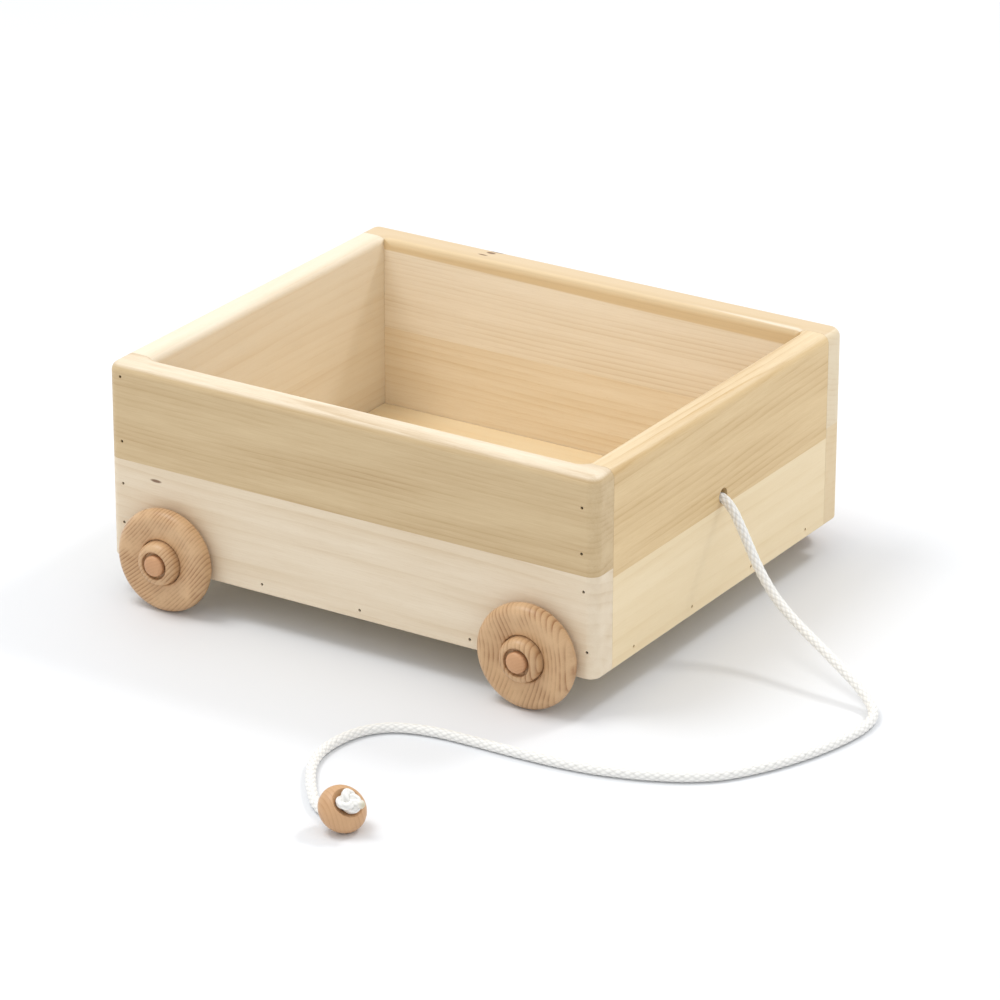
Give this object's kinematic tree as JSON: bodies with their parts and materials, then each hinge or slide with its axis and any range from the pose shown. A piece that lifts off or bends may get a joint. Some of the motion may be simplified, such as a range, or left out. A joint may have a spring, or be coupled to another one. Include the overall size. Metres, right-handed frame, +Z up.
{
  "type": "pull-along toy wagon",
  "caption": "Open nailed wooden box on turned wheels with button-headed axle pegs, pulled by a braided rope that ends in a round wooden bead.",
  "frame": {"origin": "on the ground under the middle of the box", "axes": "+X forward, to the end that the rope comes out of; +Y to the wagon's left; +Z up"},
  "size_m": [0.4785, 0.5135, 0.1467],
  "materials": {
    "side_upper_wood": "bare planed softwood, tan heartwood, satin",
    "side_lower_wood": "bare planed softwood, pale sapwood, satin",
    "front_upper_wood": "bare planed softwood, yellow tan, satin",
    "front_lower_wood": "bare planed softwood, light yellow, satin",
    "rear_wood": "bare planed softwood, cream, satin",
    "floor_wood": "bare planed softwood, tan, satin",
    "wheel_wood": "turned hardwood, sanded smooth, satin",
    "peg_wood": "turned hardwood, sanded smooth, satin",
    "bead_wood": "turned hardwood, sanded smooth, satin",
    "rope": "solid-braided white cord, slightly glossy",
    "brad_steel": "dull brown-grey wire in an open hole"
  },
  "bodies": {
    "root": {"right_side_lower_board": "side_lower_wood", "right_side_upper_board": "side_upper_wood", "left_side_lower_board": "side_lower_wood", "left_side_upper_board": "side_upper_wood", "front_end_lower_board": "front_lower_wood", "front_end_upper_board": "front_upper_wood", "rear_end_lower_board": "rear_wood", "rear_end_upper_board": "rear_wood", "floor_panel": "floor_wood", "front_right_axle_peg": "peg_wood", "front_left_axle_peg": "peg_wood", "rear_right_axle_peg": "peg_wood", "rear_left_axle_peg": "peg_wood", "pull_rope": "rope", "rope_stop_knot": "rope", "rope_end_knot": "rope", "pull_bead": "bead_wood", "brad_rear_right_corner_1": "brad_steel", "brad_rear_right_corner_2": "brad_steel", "brad_rear_right_corner_3": "brad_steel", "brad_rear_right_corner_4": "brad_steel", "brad_rear_left_corner_1": "brad_steel", "brad_rear_left_corner_2": "brad_steel", "brad_rear_left_corner_3": "brad_steel", "brad_rear_left_corner_4": "brad_steel", "brad_rear_end_floor_1": "brad_steel", "brad_rear_end_floor_2": "brad_steel", "brad_rear_end_floor_3": "brad_steel", "brad_rear_end_floor_4": "brad_steel", "brad_front_right_corner_1": "brad_steel", "brad_front_right_corner_2": "brad_steel", "brad_front_right_corner_3": "brad_steel", "brad_front_right_corner_4": "brad_steel", "brad_front_left_corner_1": "brad_steel", "brad_front_left_corner_2": "brad_steel", "brad_front_left_corner_3": "brad_steel", "brad_front_left_corner_4": "brad_steel", "brad_front_end_floor_1": "brad_steel", "brad_front_end_floor_2": "brad_steel", "brad_front_end_floor_3": "brad_steel", "brad_front_end_floor_4": "brad_steel", "brad_right_side_floor_1": "brad_steel", "brad_right_side_floor_2": "brad_steel", "brad_right_side_floor_3": "brad_steel", "brad_left_side_floor_1": "brad_steel", "brad_left_side_floor_2": "brad_steel", "brad_left_side_floor_3": "brad_steel"},
    "front_right_wheel_body": {"front_right_wheel": "wheel_wood"},
    "front_left_wheel_body": {"front_left_wheel": "wheel_wood"},
    "rear_right_wheel_body": {"rear_right_wheel": "wheel_wood"},
    "rear_left_wheel_body": {"rear_left_wheel": "wheel_wood"}
  },
  "joints": [
    {"name": "front_right_wheel_spin", "type": "hinge", "parent": "root", "child": "front_right_wheel_body", "pos_m": [0.1284, -0.1507, 0.0322], "axis": [0, 1, 0], "continuous": true},
    {"name": "front_left_wheel_spin", "type": "hinge", "parent": "root", "child": "front_left_wheel_body", "pos_m": [0.1284, 0.1507, 0.0322], "axis": [0, 1, 0], "continuous": true},
    {"name": "rear_right_wheel_spin", "type": "hinge", "parent": "root", "child": "rear_right_wheel_body", "pos_m": [-0.1244, -0.1507, 0.0322], "axis": [0, 1, 0], "continuous": true},
    {"name": "rear_left_wheel_spin", "type": "hinge", "parent": "root", "child": "rear_left_wheel_body", "pos_m": [-0.1244, 0.1507, 0.0322], "axis": [0, 1, 0], "continuous": true}
  ]
}
